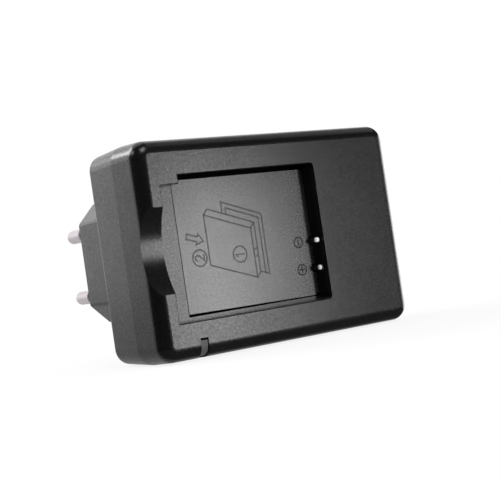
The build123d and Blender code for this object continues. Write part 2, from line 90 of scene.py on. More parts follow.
def feed(tree: bpy.types.NodeTree, socket: bpy.types.NodeSocket, value: Input) -> None:
    """Links an output socket to an input, or sets the input to a plain value.

    Args:
        tree: Node tree of the input.
        socket: Input to feed.
        value: Output socket or plain value.
    """
    if isinstance(value, bpy.types.NodeSocket):
        tree.links.new(value, socket)
    else:
        socket.default_value = value


def add_node(tree: bpy.types.NodeTree, kind: str, **inputs: Input) -> bpy.types.Node:
    """Adds a node and feeds its inputs.

    Args:
        tree: Node tree that gets the node.
        kind: Blender's name of the node type.
        inputs: Values or output sockets by input name, with underscores for spaces.

    Returns:
        The new node.
    """
    node = tree.nodes.new(kind)
    for name, value in inputs.items():
        feed(tree, node.inputs[name.replace("_", " ")], value)
    return node


def math_node(tree: bpy.types.NodeTree, operation: str, *values: Input) -> bpy.types.NodeSocket:
    """Adds a Math node.

    Args:
        tree: Node tree that gets the node.
        operation: Name of the operation.
        values: Numbers or output sockets, in the order of the node's inputs.

    Returns:
        The node's output socket.
    """
    node = tree.nodes.new("ShaderNodeMath")
    node.operation = operation
    for socket, value in zip(node.inputs, values):
        feed(tree, socket, value)
    return node.outputs[0]


def vector_node(
    tree: bpy.types.NodeTree, operation: str, vector: bpy.types.NodeSocket, other: Point
) -> bpy.types.NodeSocket:
    """Adds a Vector Math node that gives a value.

    Args:
        tree: Node tree that gets the node.
        operation: Name of the operation.
        vector: Socket of the first vector.
        other: Second vector.

    Returns:
        The value's socket.
    """
    node = tree.nodes.new("ShaderNodeVectorMath")
    node.operation = operation
    for socket, value in zip(node.inputs, (vector, other)):
        feed(tree, socket, value)
    return node.outputs["Value"]


def mix_colour(
    tree: bpy.types.NodeTree, mask: bpy.types.NodeSocket, low: Input, high: Input
) -> bpy.types.NodeSocket:
    """Mixes two colours by a mask.

    Args:
        tree: Node tree that gets the node.
        mask: Socket that runs from 0, all low, to 1, all high.
        low: Colour or socket at 0.
        high: Colour or socket at 1.

    Returns:
        The mixed colour's socket.
    """
    node = tree.nodes.new("ShaderNodeMix")
    node.data_type = "RGBA"
    feed(tree, node.inputs["Factor"], mask)
    for place, value in ((MIX_LOW, low), (MIX_HIGH, high)):
        colour = value if isinstance(value, bpy.types.NodeSocket) else (*value, 1.0)
        feed(tree, node.inputs[place], colour)
    return node.outputs[MIX_RESULT]


def spread(
    tree: bpy.types.NodeTree, value: bpy.types.NodeSocket, low: float, high: float
) -> bpy.types.NodeSocket:
    """Maps a socket from 0..1 to a range.

    Args:
        tree: Node tree that gets the node.
        value: Socket from 0 to 1.
        low: Result at 0.
        high: Result at 1.

    Returns:
        The mapped value's socket.
    """
    return add_node(tree, "ShaderNodeMapRange", Value=value, To_Min=low, To_Max=high).outputs[0]


def new_group(name: str, inputs: dict[str, str], outputs: dict[str, str]) -> bpy.types.NodeTree:
    """Starts a shader node group with named sockets.

    Args:
        name: Name of the group.
        inputs: Socket types by input name.
        outputs: Socket types by output name.

    Returns:
        The group's node tree, with its input and output nodes in it.
    """
    group = bpy.data.node_groups.new(name, "ShaderNodeTree")
    for side, sockets in (("INPUT", inputs), ("OUTPUT", outputs)):
        for socket_name, socket_type in sockets.items():
            group.interface.new_socket(socket_name, in_out=side, socket_type=socket_type)
    group.nodes.new("NodeGroupInput").name = "inputs"
    group.nodes.new("NodeGroupOutput").name = "outputs"
    return group


@dataclass(frozen=True)
class MouldGrain:
    """Spark-eroded mould texture: a fine and a coarse noise for height, and for tone the coarse one
    on top of slow patches.

    The scale of the coarse noise is a share of that of the fine one. The tone runs from 0 to 1 while
    the coarse noise with its patches runs through the tone span.
    """

    fine_detail: float = 2.0
    coarse_share: float = 0.75
    coarse_detail: float = 1.0
    patches_per_metre: float = 60.0
    patch_detail: float = 3.0
    patch_strength: float = 0.3
    tone_span: Span = (0.22, 0.78)

    def build(self) -> bpy.types.NodeTree:
        """Builds the group.

        Returns:
            The group, with outputs Height, Tone and Shine from 0 to 1.
        """
        group = new_group(
            "moulded_grain",
            {"Vector": "NodeSocketVector", "Grains per Metre": "NodeSocketFloat"},
            {"Height": "NodeSocketFloat", "Tone": "NodeSocketFloat", "Shine": "NodeSocketFloat"},
        )
        source = group.nodes["inputs"].outputs
        target = group.nodes["outputs"].inputs
        place, scale = source["Vector"], source["Grains per Metre"]
        fine = add_node(group, "ShaderNodeTexNoise", Vector=place, Scale=scale, Detail=self.fine_detail)
        coarse_scale = math_node(group, "MULTIPLY", scale, self.coarse_share)
        coarse = add_node(
            group, "ShaderNodeTexNoise", Vector=place, Scale=coarse_scale, Detail=self.coarse_detail
        )
        both = math_node(group, "ADD", fine.outputs["Fac"], coarse.outputs["Fac"])
        mean = math_node(group, "MULTIPLY", both, 0.5)
        feed(group, target["Height"], mean)
        slow = add_node(
            group, "ShaderNodeTexNoise", Vector=place, Scale=self.patches_per_metre,
            Detail=self.patch_detail,
        )
        patches = math_node(
            group, "MULTIPLY_ADD", slow.outputs["Fac"], self.patch_strength, -self.patch_strength / 2
        )
        mottle = math_node(group, "ADD", coarse.outputs["Fac"], patches)
        low, high = self.tone_span
        tone = add_node(group, "ShaderNodeMapRange", Value=mottle, From_Min=low, From_Max=high)
        feed(group, target["Tone"], tone.outputs[0])
        feed(group, target["Shine"], fine.outputs["Fac"])
        return group


@dataclass(frozen=True)
class DustSpecks:
    """Sparse specks of dust: the middles of a few cells of a cell pattern, with the radius in cells."""

    speck_radius: float = 0.16

    def build(self) -> bpy.types.NodeTree:
        """Builds the group.

        Returns:
            The group, with the output Mask from 0, clean, to 1, a speck.
        """
        group = new_group(
            "dust_specks",
            {
                "Vector": "NodeSocketVector",
                "Cells per Metre": "NodeSocketFloat",
                "Share": "NodeSocketFloat",
            },
            {"Mask": "NodeSocketFloat"},
        )
        source = group.nodes["inputs"].outputs
        target = group.nodes["outputs"].inputs
        cells = add_node(
            group, "ShaderNodeTexVoronoi", Vector=source["Vector"], Scale=source["Cells per Metre"]
        )
        middle = math_node(group, "LESS_THAN", cells.outputs["Distance"], self.speck_radius)
        draw = add_node(group, "ShaderNodeSeparateColor", Color=cells.outputs["Color"]).outputs[0]
        chosen = math_node(group, "LESS_THAN", draw, source["Share"])
        feed(group, target["Mask"], math_node(group, "MULTIPLY", middle, chosen))
        return group


@dataclass(frozen=True)
class BrightPlating:
    """Bright plating: fine handling scratches, drawn out along y, across a slow cloud of tarnish."""

    stretch: Point = (1.0, 0.06, 1.0)
    scratch_detail: float = 4.0
    clouds_per_metre: float = 240.0
    cloud_detail: float = 2.0

    def build(self) -> bpy.types.NodeTree:
        """Builds the group.

        Returns:
            The group, with outputs Height, Tarnish and Shine from 0 to 1.
        """
        group = new_group(
            "bright_plating",
            {"Vector": "NodeSocketVector", "Scratches per Metre": "NodeSocketFloat"},
            {"Height": "NodeSocketFloat", "Tarnish": "NodeSocketFloat", "Shine": "NodeSocketFloat"},
        )
        source = group.nodes["inputs"].outputs
        target = group.nodes["outputs"].inputs
        drawn = add_node(group, "ShaderNodeMapping", Vector=source["Vector"], Scale=self.stretch)
        scratches = add_node(
            group, "ShaderNodeTexNoise", Vector=drawn.outputs[0], Scale=source["Scratches per Metre"],
            Detail=self.scratch_detail,
        )
        cloud = add_node(
            group, "ShaderNodeTexNoise", Vector=source["Vector"], Scale=self.clouds_per_metre,
            Detail=self.cloud_detail,
        )
        feed(group, target["Height"], scratches.outputs["Fac"])
        feed(group, target["Tarnish"], cloud.outputs["Fac"])
        feed(group, target["Shine"], scratches.outputs["Fac"])
        return group


class Effects:
    """Node groups that several finishes share, each built once."""

    def __init__(self) -> None:
        """Builds the groups."""
        self.grain = MouldGrain().build()
        self.dust = DustSpecks().build()
        self.plating = BrightPlating().build()


def place_group(tree: bpy.types.NodeTree, group: bpy.types.NodeTree, **inputs: Input) -> bpy.types.Node:
    """Places a shared group in a material.

    Args:
        tree: Material's node tree.
        group: Group to place.
        inputs: Values or sockets by input name, with underscores for spaces.

    Returns:
        The group's node.
    """
    node = tree.nodes.new("ShaderNodeGroup")
    node.node_tree = group
    for name, value in inputs.items():
        feed(tree, node.inputs[name.replace("_", " ")], value)
    return node


def start_material(name: str) -> tuple[bpy.types.Material, bpy.types.Node, bpy.types.NodeSocket]:
    """Starts a node material.

    Args:
        name: Name of the material.

    Returns:
        The material, its Principled shader and the socket of the Object coordinates.
    """
    material = bpy.data.materials.new(name)
    material.use_nodes = True
    shader = material.node_tree.nodes["Principled BSDF"]
    coordinates = material.node_tree.nodes.new("ShaderNodeTexCoord").outputs["Object"]
    return material, shader, coordinates


def add_bump(tree: bpy.types.NodeTree, shader: bpy.types.Node, height: bpy.types.NodeSocket) -> None:
    """Feeds a height into the shader's normal.

    Args:
        tree: Material's node tree.
        shader: Shader that gets the normal.
        height: Socket of the height in metres.
    """
    bump = add_node(tree, "ShaderNodeBump", Strength=1.0, Distance=1.0, Height=height)
    feed(tree, shader.inputs["Normal"], bump.outputs[0])


# Finishes


@dataclass(frozen=True)
class MouldedPlastic:
    """Moulded plastic with an eroded texture and a little dust.

    The glint is the least and the greatest share of a clear coat that makes single grains shine.
    A surface that isn't quite true has a lean, its slope along x, y and z, and a bow, the height that
    it loses with the square of the distance from its middle.
    """

    name: str
    colour: Colour
    light_colour: Colour
    roughness: Span = (0.20, 0.29)
    specular: float = 0.5
    glint: Span = (0.0, 0.0)
    glint_roughness: float = 0.25
    grains_per_metre: float = 2600.0
    grain_depth: float = 1e-5
    lean: Point = (0.0, 0.0, 0.0)
    bow: float = 0.0
    bow_middle: Point = (0.0, 0.0, 0.0)
    dust_share: float = 0.0
    dust_colour: Colour = (0.05, 0.05, 0.048)
    dust_cells_per_metre: float = 700.0

    def tint(
        self, tree: bpy.types.NodeTree, effects: Effects, coordinates: bpy.types.NodeSocket,
        tone: bpy.types.NodeSocket,
    ) -> bpy.types.NodeSocket:
        """Mixes the two colours by the grain's tone and lays the dust on them.

        Args:
            tree: Material's node tree.
            effects: Shared node groups.
            coordinates: Socket of the Object coordinates.
            tone: Socket of the grain's tone.

        Returns:
            The colour's socket.
        """
        colour = mix_colour(tree, tone, self.colour, self.light_colour)
        if not self.dust_share:
            return colour
        dust = place_group(
            tree, effects.dust, Vector=coordinates, Cells_per_Metre=self.dust_cells_per_metre,
            Share=self.dust_share,
        )
        return mix_colour(tree, dust.outputs["Mask"], colour, self.dust_colour)

    def relief(
        self, tree: bpy.types.NodeTree, coordinates: bpy.types.NodeSocket, grain: bpy.types.NodeSocket
    ) -> bpy.types.NodeSocket:
        """Adds the lean and the bow to the height of the grain.

        Args:
            tree: Material's node tree.
            coordinates: Socket of the Object coordinates.
            grain: Socket of the grain's height, from 0 to 1.

        Returns:
            The socket of the height in metres.
        """
        height = math_node(tree, "MULTIPLY", grain, self.grain_depth)
        if any(self.lean):
            slope = vector_node(tree, "DOT_PRODUCT", coordinates, self.lean)
            height = math_node(tree, "ADD", height, slope)
        if self.bow:
            reach = vector_node(tree, "DISTANCE", coordinates, self.bow_middle)
            drop = math_node(tree, "MULTIPLY", math_node(tree, "POWER", reach, 2.0), -self.bow)
            height = math_node(tree, "ADD", height, drop)
        return height

    def material(self, effects: Effects) -> bpy.types.Material:
        """Builds the material.

        Args:
            effects: Shared node groups.

        Returns:
            The material.
        """
        material, shader, coordinates = start_material(self.name)
        tree = material.node_tree
        grain = place_group(
            tree, effects.grain, Vector=coordinates, Grains_per_Metre=self.grains_per_metre
        ).outputs
        feed(tree, shader.inputs["Base Color"], self.tint(tree, effects, coordinates, grain["Tone"]))
        feed(tree, shader.inputs["Roughness"], spread(tree, grain["Shine"], *self.roughness))
        shader.inputs["Specular IOR Level"].default_value = self.specular
        if any(self.glint):
            feed(tree, shader.inputs["Coat Weight"], spread(tree, grain["Tone"], *self.glint))
            shader.inputs["Coat Roughness"].default_value = self.glint_roughness
        add_bump(tree, shader, self.relief(tree, coordinates, grain["Height"]))
        return material


@dataclass(frozen=True)
class PlatedMetal:
    """Metal with a bright or satin plating, fine scratches and a trace of tarnish."""

    name: str
    colour: Colour
    tarnish: Colour
    roughness: Span
    metallic: float = 1.0
    scratches_per_metre: float = 5200.0
    scratch_depth: float = 2e-6

    def material(self, effects: Effects) -> bpy.types.Material:
        """Builds the material.

        Args:
            effects: Shared node groups.

        Returns:
            The material.
        """
        material, shader, coordinates = start_material(self.name)
        tree = material.node_tree
        plating = place_group(
            tree, effects.plating, Vector=coordinates, Scratches_per_Metre=self.scratches_per_metre
        ).outputs
        colour = mix_colour(tree, plating["Tarnish"], self.colour, self.tarnish)
        feed(tree, shader.inputs["Base Color"], colour)
        feed(tree, shader.inputs["Roughness"], spread(tree, plating["Shine"], *self.roughness))
        shader.inputs["Metallic"].default_value = self.metallic
        add_bump(tree, shader, math_node(tree, "MULTIPLY", plating["Height"], self.scratch_depth))
        return material


@dataclass(frozen=True)
class PaintedHighlightLeaf:
    """Plated spring leaf with a painted highlight, a white spot at its bend, and painted shade, near
    black, elsewhere.

    The painted highlight's middle lies inside the low corner of the leaf's box by the inset, along x
    and y.
    """

    name: str
    node: str
    # Colour of the painted highlight in the spot, and of the painted shade on the rest of the leaf
    highlight_paint: Colour = (1.0, 1.0, 0.99)
    shade_paint: Colour = (0.02, 0.02, 0.02)
    highlight_inset: Place = (0.35e-3, 0.4e-3)
    highlight_radius: float = 0.72e-3
    highlight_edge: float = 0.1e-3
    roughness: Span = (0.40, 0.50)
    scratches_per_metre: float = 5200.0
    metallic: float = 0.0

    def material(self, effects: Effects) -> bpy.types.Material:
        """Builds the material.

        Args:
            effects: Shared node groups.

        Returns:
            The material.
        """
        material, shader, coordinates = start_material(self.name)
        tree = material.node_tree
        low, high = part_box(self.node)
        middle = (low.x + self.highlight_inset[0], low.y + self.highlight_inset[1], (low.z + high.z) / 2)
        reach = vector_node(tree, "DISTANCE", coordinates, middle)
        highlight_spot = add_node(
            tree, "ShaderNodeMapRange", Value=reach,
            From_Min=self.highlight_radius - self.highlight_edge, From_Max=self.highlight_radius + self.highlight_edge,
            To_Min=1.0, To_Max=0.0,
        )
        plating = place_group(
            tree, effects.plating, Vector=coordinates, Scratches_per_Metre=self.scratches_per_metre
        ).outputs
        # Painted shade outside the spot, painted highlight inside it
        colour = mix_colour(tree, highlight_spot.outputs[0], self.shade_paint, self.highlight_paint)
        feed(tree, shader.inputs["Base Color"], colour)
        feed(tree, shader.inputs["Roughness"], spread(tree, plating["Shine"], *self.roughness))
        shader.inputs["Metallic"].default_value = self.metallic
        return material


@dataclass(frozen=True)
class ClearPlastic:
    """Slightly cloudy clear plastic of the light pipe and of the lamp behind it."""

    name: str
    colour: Colour
    cloud_colour: Colour
    roughness: Span = (0.18, 0.30)
    transmission: float = 0.5
    refraction: float = 1.49
    clouds_per_metre: float = 1500.0

    def material(self, effects: Effects) -> bpy.types.Material:
        """Builds the material.

        Args:
            effects: Shared node groups.

        Returns:
            The material.
        """
        material, shader, coordinates = start_material(self.name)
        tree = material.node_tree
        grain = place_group(
            tree, effects.grain, Vector=coordinates, Grains_per_Metre=self.clouds_per_metre
        ).outputs
        colour = mix_colour(tree, grain["Tone"], self.colour, self.cloud_colour)
        feed(tree, shader.inputs["Base Color"], colour)
        feed(tree, shader.inputs["Roughness"], spread(tree, grain["Shine"], *self.roughness))
        shader.inputs["Transmission Weight"].default_value = self.transmission
        shader.inputs["IOR"].default_value = self.refraction
        return material


Finish = MouldedPlastic | PlatedMetal | PaintedHighlightLeaf | ClearPlastic

BLACK_CASE = MouldedPlastic(
    "case_black_plastic", (0.004, 0.004, 0.0045), (0.008, 0.008, 0.0085),
    specular=0.38, glint=(0.0, 0.65), dust_share=0.004,
)
PLATE_GREY = MouldedPlastic(
    "plate_dark_plastic", (0.016, 0.016, 0.0165), (0.028, 0.028, 0.0285),
    glint=(0.0, 0.85), lean=(0.006, 0.0, -0.012), bow=0.24, bow_middle=(-0.004, -0.0267, 0.0295),
)
SLEEVE_BLACK = MouldedPlastic(
    "sleeve_black_plastic", (0.006, 0.006, 0.006), (0.009, 0.009, 0.009), roughness=(0.5, 0.6)
)
SIGN_INK = MouldedPlastic(
    "sign_dark_ink", (0.014, 0.014, 0.014), (0.020, 0.020, 0.020), roughness=(0.28, 0.36)
)
POLE_INK = replace(SIGN_INK, name="pole_dull_ink", roughness=(0.46, 0.56))
# Contact leaves carry a painted highlight at the bend and painted shade elsewhere
NEGATIVE_LEAF = PaintedHighlightLeaf("negative_leaf_nickel", "contact_negative")
POSITIVE_LEAF = PaintedHighlightLeaf("positive_leaf_nickel", "contact_positive", highlight_inset=(-0.1e-3, 0.4e-3))
PIN_NICKEL = PlatedMetal(
    "pin_satin_nickel", (0.92, 0.84, 0.88), (0.87, 0.795, 0.835),
    roughness=(0.36, 0.44), metallic=0.4, scratch_depth=1e-7,
)
SCREW_ZINC = PlatedMetal("screw_zinc", (0.55, 0.55, 0.56), (0.44, 0.44, 0.45), roughness=(0.3, 0.45))
PIPE_CLEAR = ClearPlastic(
    "pipe_clear_plastic", (0.11, 0.11, 0.114), (0.13, 0.13, 0.134),
    roughness=(0.50, 0.60), transmission=0.1,
)
LED_RESIN = ClearPlastic("led_red_resin", (0.55, 0.08, 0.06), (0.45, 0.06, 0.05), transmission=0.2)
# Circuit board painted near black and matte as painted shade, so that the gaps round the insert plate
# show black
BOARD_PAINTED_SHADE = MouldedPlastic(
    "board_painted_shade", (0.003, 0.006, 0.004), (0.005, 0.009, 0.006),
    roughness=(0.80, 0.90), specular=0.1,
)
FERRITE_GREY = MouldedPlastic("ferrite_grey", (0.05, 0.05, 0.055), (0.08, 0.08, 0.085))
BOBBIN_BLACK = MouldedPlastic("bobbin_black_plastic", (0.01, 0.01, 0.01), (0.015, 0.015, 0.015))
TAPE_YELLOW = MouldedPlastic("winding_yellow_tape", (0.70, 0.48, 0.05), (0.78, 0.55, 0.08))
CAPACITOR_FILM = MouldedPlastic("capacitor_dark_film", (0.02, 0.022, 0.03), (0.03, 0.032, 0.04))
CERAMIC_BLUE = MouldedPlastic("capacitor_blue_coat", (0.03, 0.12, 0.38), (0.05, 0.16, 0.45))
FUSE_COAT = MouldedPlastic("fuse_grey_coat", (0.28, 0.30, 0.26), (0.35, 0.37, 0.32))
EPOXY_BLACK = MouldedPlastic("package_black_epoxy", (0.012, 0.012, 0.013), (0.02, 0.02, 0.021))
LEAD_BROWN = MouldedPlastic("lead_brown_skin", (0.16, 0.07, 0.03), (0.20, 0.09, 0.04))
LEAD_BLUE = MouldedPlastic("lead_blue_skin", (0.03, 0.08, 0.30), (0.04, 0.11, 0.36))


# Mesh helpers


# Cosine of half the sharpest turn at which a ribbon keeps its full width
SHARPEST_MITRE = 0.5


def arc(centre: Place, radius: float, start: float, end: float, count: int) -> np.ndarray:
    """Points of a circular arc: the centre plus the radius turned from start to end.

    Args:
        centre: Centre in the plane of the plate.
        radius: Radius of the arc.
        start: First angle in degrees.
        end: Last angle in degrees.
        count: Number of points.

    Returns:
        Array of shape (count, 2).
    """
    angles = np.radians(np.linspace(start, end, count))
    return np.asarray(centre) + radius * np.stack([np.cos(angles), np.sin(angles)], axis=1)


def ribbon(path: np.ndarray, closed: bool, profile: np.ndarray) -> tuple[np.ndarray, np.ndarray]:
    """Carries a flat profile along a path in the plane: each path point moves sideways by the
    profile's width along its mitred normal, and out of the plane by the profile's height.

    Args:
        path: Points in the plane, shape (n, 2).
        closed: Whether the last point joins the first.
        profile: Closed section as pairs of sideways and outward offsets, shape (m, 2).

    Returns:
        Vertices as sideways, upward and outward coordinates, shape (n * m, 3), and quads.
    """
    ahead = np.roll(path, -1, axis=0) - path
    behind = path - np.roll(path, 1, axis=0)
    if not closed:
        ahead[-1] = behind[-1]
        behind[0] = ahead[0]
    ahead /= np.linalg.norm(ahead, axis=1, keepdims=True)
    behind /= np.linalg.norm(behind, axis=1, keepdims=True)
    tangent = ahead + behind
    tangent /= np.linalg.norm(tangent, axis=1, keepdims=True)
    mitre = 1.0 / np.maximum((tangent * ahead).sum(axis=1), SHARPEST_MITRE)
    normal = np.stack([-tangent[:, 1], tangent[:, 0]], axis=1) * mitre[:, None]
    flat = path[:, None, :] + normal[:, None, :] * profile[None, :, :1]
    outward = np.broadcast_to(profile[None, :, 1:], (*flat.shape[:2], 1))
    vertices = np.concatenate([flat, outward], axis=2).reshape(-1, 3)
    rows, columns = len(path), len(profile)
    row = np.arange(rows if closed else rows - 1)[:, None]
    column = np.arange(columns)[None, :]
    next_row = (row + 1) % rows
    next_column = (column + 1) % columns
    quads = np.stack(
        [
            row * columns + column,
            row * columns + next_column,
            next_row * columns + next_column,
            next_row * columns + column,
        ],
        axis=2,
    ).reshape(-1, 4)
    return vertices, quads


def mesh_object(
    name: str, vertices: np.ndarray, faces: list[list[int]], material: bpy.types.Material
) -> bpy.types.Object:
    """Makes an object from arrays, at the origin.

    Args:
        name: Name of the piece.
        vertices: Places in metres, shape (n, 3).
        faces: Corner indices of each face.
        material: Finish of the piece.

    Returns:
        The linked object.
    """
    mesh = bpy.data.meshes.new(name)
    mesh.from_pydata(vertices.tolist(), [], faces)
    mesh.materials.append(material)
    mesh.update()
    piece = bpy.data.objects.new(name, mesh)
    bpy.context.scene.collection.objects.link(piece)
    return piece


# Sub-assemblies


@dataclass
class Dressed:
    """Base of a sub-assembly whose nodes keep their CAD meshes and get a finish each."""

    finishes: dict[str, Finish]

    def dress(self, effects: Effects) -> None:
        """Gives each node its material.

        Args:
            effects: Shared node groups.
        """
        made = {finish: finish.material(effects) for finish in dict.fromkeys(self.finishes.values())}
        for node_name, finish in self.finishes.items():
            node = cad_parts[node_name]
            node.data.materials.clear()
            node.data.materials.append(made[finish])
            log.info("dressed %s as %s", node_name, finish.name)


@dataclass
class Housing(Dressed):
    """Moulded covers, insert plate, light pipe and case screws."""

    finishes: dict[str, Finish] = field(
        default_factory=lambda: {
            "front_cover": BLACK_CASE,
            "rear_cover": BLACK_CASE,
            "battery_plate": PLATE_GREY,
            "light_pipe": PIPE_CLEAR,
            "case_screws": SCREW_ZINC,
        }
    )


@dataclass
class Terminals(Dressed):
    """Plug pins with their sleeves and leads, and the leaf contacts of the battery."""

    finishes: dict[str, Finish] = field(
        default_factory=lambda: {
            "plug_pin_live": PIN_NICKEL,
            "plug_pin_neutral": PIN_NICKEL,
            "pin_sleeve_live": SLEEVE_BLACK,
            "pin_sleeve_neutral": SLEEVE_BLACK,
            "pin_lead_live": LEAD_BROWN,
            "pin_lead_neutral": LEAD_BLUE,
            "contact_negative": NEGATIVE_LEAF,
            "contact_positive": POSITIVE_LEAF,
        }
    )


@dataclass
class Circuit(Dressed):
    """Board and components inside the housing."""

    finishes: dict[str, Finish] = field(
        default_factory=lambda: {
            "circuit_board": BOARD_PAINTED_SHADE,
            "charge_led": LED_RESIN,
            "transformer_core": FERRITE_GREY,
            "transformer_bobbin": BOBBIN_BLACK,
            "transformer_winding": TAPE_YELLOW,
            "mains_capacitor": CAPACITOR_FILM,
            "output_capacitor": CAPACITOR_FILM,
            "noise_capacitor": CERAMIC_BLUE,
            "fuse_resistor": FUSE_COAT,
            "bridge_rectifier": EPOXY_BLACK,
            "control_chip": EPOXY_BLACK,
            "switch_transistor": EPOXY_BLACK,
        }
    )


@dataclass
class PlateSigns:
    """Signs printed on the insert plate: how the battery goes in, and the poles of the contacts.

    Sizes are in millimetres. Places are x and z offsets from the middle of the plate's box. The
    strokes of the numbers are in halves of their height, with their width first.
    """

    line_width: float = 0.5
    line_height: float = 0.03
    line_sink: float = 0.03
    line_top_share: float = 0.7
    circle_points: int = 40
    pole_radius: float = 1.46
    pole_gap: float = 4.1
    pole_bar: float = 0.95
    step_radius: float = 2.2
    step_height: float = 2.75
    step_places: dict[Digit, Place] = field(
        default_factory=lambda: {Digit.ONE: (-3.6, -3.6), Digit.TWO: (-16.4, -3.2)}
    )
    one_stroke: tuple[Place, ...] = ((-0.5, 0.5), (0.0, 1.0), (0.0, -1.0))
    two_bow_middle: Place = (0.0, 0.45)
    two_bow_radius: float = 0.55
    two_bow_turn: Span = (170.0, -35.0)
    two_bow_points: int = 12
    two_foot: tuple[Place, ...] = ((-0.6, -1.0), (0.65, -1.0))
    slab_corner: Place = (-13.4, -5.5)
    slab_base: Place = (14.4, -5.0)
    slab_height: float = 13.6
    slab_lean: Place = (1.3, 1.5)
    dock_outer: tuple[Place, ...] = ((-7.5, 8.0), (-7.5, 11.1), (5.1, 6.7), (5.1, -10.0), (2.3, -9.0))
    dock_inner: tuple[Place, ...] = ((-6.3, 7.6), (-6.3, 9.4), (3.9, 5.8), (3.9, -9.55))
    terminal_places: tuple[Place, ...] = ((1.1, -4.9), (1.1, -2.9))
    terminal_reach: Place = (1.1, 0.4)
    arrow_tail: Place = (-19.6, 2.9)
    arrow_tip: Place = (-14.6, 1.2)
    arrow_shaft: float = 0.7
    arrow_barb: float = 1.5
    arrow_head: float = 2.0

    def profile(self) -> np.ndarray:
        """Section of a printed line: a low trapezium that stands a little into the plate.

        Returns:
            Pairs of sideways and outward offsets, shape (4, 2).
        """
        half = self.line_width / 2
        top = self.line_top_share * half
        low, high = -self.line_sink, self.line_height
        return np.array([(half, low), (top, high), (-top, high), (-half, low)])

    def circle(self, centre: Place, radius: float) -> Line:
        """Closed ring of a sign, as an arc of a full turn without its last point."""
        return arc(centre, radius, 0.0, 360.0, self.circle_points + 1)[:-1], True

    def digit(self, digit: Digit, centre: Place) -> Line:
        """One stroke of a step number: a flagged stem for 1, a hook with a foot for 2.

        The number reads from below to above: its width runs along +z, and its height along -x.

        Args:
            digit: Number to draw.
            centre: Middle of the number.

        Returns:
            The path, and that it is open.
        """
        if digit is Digit.ONE:
            stroke = np.array(self.one_stroke)
        else:
            bow = arc(self.two_bow_middle, self.two_bow_radius, *self.two_bow_turn, self.two_bow_points)
            stroke = np.concatenate([bow, self.two_foot])
        stroke = stroke * self.step_height / 2
        return np.asarray(centre) + np.stack([-stroke[:, 1], stroke[:, 0]], axis=1), False

    def slab_paths(self) -> list[Line]:
        """Battery as a leaning slab: its front, top and end faces as three outlines.

        Returns:
            The paths, each with whether it is closed.
        """
        corner = np.array(self.slab_corner)
        base = np.array(self.slab_base)
        lean = np.array(self.slab_lean)
        rise = np.array((0.0, self.slab_height))
        front = np.array([corner, corner + base, corner + base + rise, corner + rise])
        top = np.array([corner + rise + lean, corner + base + rise + lean])
        end = np.array([corner + base + lean, corner + base])
        return [
            (front, True),
            (np.concatenate([front[3:], top, front[2:3]]), False),
            (np.concatenate([top[1:], end]), False),
        ]

    def dock_paths(self) -> list[Line]:
        """Corner of the bay behind the slab as two lines, and two short terminals on the slab's end.

        Returns:
            The paths, each with that it is open.
        """
        reach = np.array(self.terminal_reach)
        terminals = [np.array([place, place + reach]) for place in np.array(self.terminal_places)]
        walls = [np.array(self.dock_outer), np.array(self.dock_inner)]
        return [(path, False) for path in walls + terminals]

    def arrow_path(self) -> Line:
        """Hollow block arrow: its corners as steps along and across the line from tail to tip.

        Returns:
            The path, and that it is closed.
        """
        tail, tip = np.array(self.arrow_tail), np.array(self.arrow_tip)
        length = np.linalg.norm(tip - tail)
        along = (tip - tail) / length
        across = np.array((-along[1], along[0]))
        neck = length - self.arrow_head
        shaft, barb = self.arrow_shaft, self.arrow_barb
        side = np.array([(0.0, shaft), (neck, shaft), (neck, barb)])
        steps = np.concatenate([side, [(length, 0.0)], side[::-1] * (1.0, -1.0)])
        return tail + steps[:, :1] * along + steps[:, 1:] * across, True

    def step_paths(self) -> list[Line]:
        """Ringed step numbers of the battery sign, first the rings and then the strokes."""
        rings = [self.circle(place, self.step_radius) for place in self.step_places.values()]
        return rings + [self.digit(digit, place) for digit, place in self.step_places.items()]

    def pole_paths(self, middle: np.ndarray) -> list[Line]:
        """Ring and bar beside each contact, and a second bar across the positive one.

        Args:
            middle: Middle of the plate's box, x and z in millimetres.

        Returns:
            The paths, each with whether it is closed.
        """
        paths = []
        bar = np.array([(0.0, -self.pole_bar), (0.0, self.pole_bar)])
        for polarity in Polarity:
            low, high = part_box(polarity.value)
            centre = np.array((low.x / MM - self.pole_gap, (low.z + high.z) / 2 / MM)) - middle
            paths.append(self.circle(centre, self.pole_radius))
            paths.append((centre + bar, False))
            if polarity is Polarity.POSITIVE:
                paths.append((centre + bar[:, ::-1], False))
        return paths

    def build(self, name: str, paths: list[Line], middle: np.ndarray, ink: bpy.types.Material) -> None:
        """Makes one piece from several printed lines, which rides on the housing.

        Args:
            name: Name of the piece.
            paths: Paths round the middle of the plate, each with whether it is closed.
            middle: Middle of the plate's box, x and z in millimetres.
            ink: Material of the lines.
        """
        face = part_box("battery_plate")[0].y
        profile = self.profile()
        vertices, faces, count = [], [], 0
        for path, closed in paths:
            places, quads = ribbon(path + middle, closed, profile)
            vertices.append(places)
            faces += (quads + count).tolist()
            if not closed:
                first = np.arange(len(profile)) + count
                last = first + (len(path) - 1) * len(profile)
                faces += [first[::-1].tolist(), last.tolist()]
            count += len(places)
        flat = np.concatenate(vertices) * MM
        spots = np.stack([flat[:, 0], face - flat[:, 2], flat[:, 1]], axis=1)
        piece = mesh_object(name, spots, faces, ink)
        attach(piece, "root")
        log.info("printed %s with %d lines", name, len(paths))

    def dress(self, effects: Effects) -> None:
        """Prints all signs.

        Args:
            effects: Shared node groups.
        """
        low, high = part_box("battery_plate")
        middle = np.array((low.x + high.x, low.z + high.z)) / 2 / MM
        sign = self.slab_paths() + self.dock_paths() + [self.arrow_path()] + self.step_paths()
        self.build("battery_sign", sign, middle, SIGN_INK.material(effects))
        self.build("pole_signs", self.pole_paths(middle), middle, POLE_INK.material(effects))


# Studio


